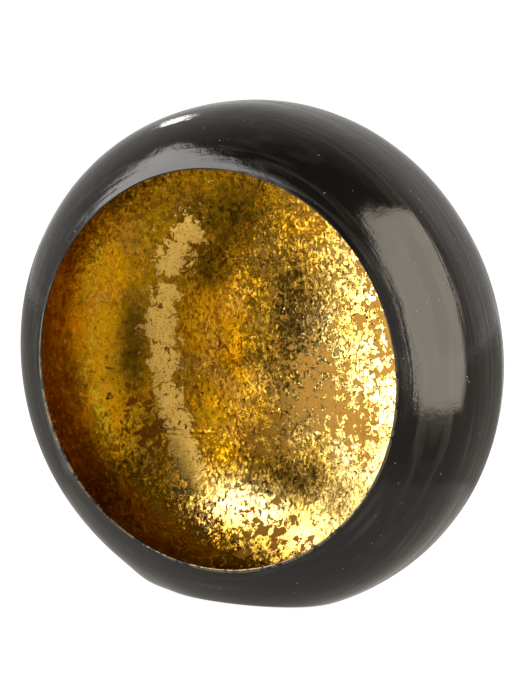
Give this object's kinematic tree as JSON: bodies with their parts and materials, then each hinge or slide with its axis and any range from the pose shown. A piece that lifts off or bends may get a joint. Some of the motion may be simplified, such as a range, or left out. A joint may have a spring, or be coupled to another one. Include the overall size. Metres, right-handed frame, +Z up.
{
  "type": "gilded candle bowl",
  "caption": "Round black-lacquered sheet-iron bowl that stands on edge on a flat foot, open at the front, lined with gold-coloured leaf, for a tealight.",
  "frame": {"origin": "centre of the flat foot, on the floor and in the plane of the welded seam", "axes": "+Z up; the body's axis is level along Y and the opening faces -Y; +X is to the right as seen from the front"},
  "size_m": [0.2506, 0.1018, 0.2425],
  "materials": {
    "black_lacquer": "gloss black lacquer, hand brushed, with fine streaks and dust nibs",
    "lacquered_weld": "dressed weld under the same gloss black lacquer",
    "brass_leaf": "crinkled brass leaf over an ochre size, torn and lapped"
  },
  "bodies": {
    "root": {"front_shell": "black_lacquer", "back_shell": "black_lacquer", "seam_weld": "lacquered_weld", "leaf_back_top_left": "brass_leaf", "leaf_back_top": "brass_leaf", "leaf_back_top_right": "brass_leaf", "leaf_back_left": "brass_leaf", "leaf_back_middle": "brass_leaf", "leaf_back_right": "brass_leaf", "leaf_back_bottom_left": "brass_leaf", "leaf_back_bottom": "brass_leaf", "leaf_back_bottom_right": "brass_leaf", "leaf_wall_1": "brass_leaf", "leaf_wall_2": "brass_leaf", "leaf_wall_3": "brass_leaf", "leaf_wall_4": "brass_leaf", "leaf_wall_5": "brass_leaf", "leaf_wall_6": "brass_leaf", "leaf_wall_7": "brass_leaf", "leaf_wall_8": "brass_leaf", "leaf_wall_9": "brass_leaf", "leaf_wall_10": "brass_leaf", "leaf_wall_11": "brass_leaf", "leaf_wall_12": "brass_leaf"}
  },
  "joints": []
}
